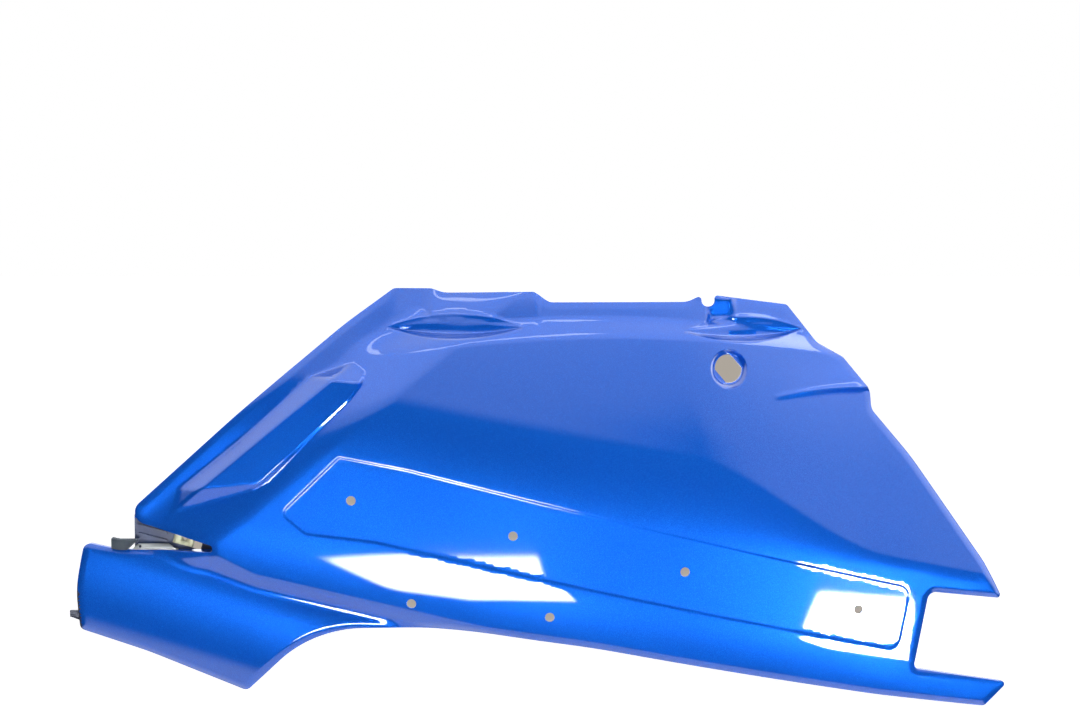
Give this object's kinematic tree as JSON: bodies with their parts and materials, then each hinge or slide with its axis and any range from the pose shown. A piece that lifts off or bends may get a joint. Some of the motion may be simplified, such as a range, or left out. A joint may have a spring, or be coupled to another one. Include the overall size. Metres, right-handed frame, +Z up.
{
  "type": "scooter side panel",
  "caption": "Painted plastic rear side panel of a scooter, with a lock cup, trim recess, scoop and tail-lamp notch, and the clips held in its front slot.",
  "frame": {"origin": "middle of the flat back of the seat rail tab, beside its screw slot", "axes": "+X to the rear of the scooter, +Z up, outer painted face towards -Y"},
  "size_m": [0.9245, 0.1657, 0.4213],
  "materials": {
    "blue_paint": "moulded plastic with metallic blue paint under clear lacquer",
    "yellow_zinc": "sheet steel with yellow zinc plating",
    "pale_zinc": "sheet steel with pale zinc plating",
    "dark_rubber": "dark grey rubber"
  },
  "bodies": {
    "root": {"side_panel": "blue_paint", "clip_nut": "yellow_zinc", "spring_clip": "pale_zinc", "buffer_block": "dark_rubber"}
  },
  "joints": []
}
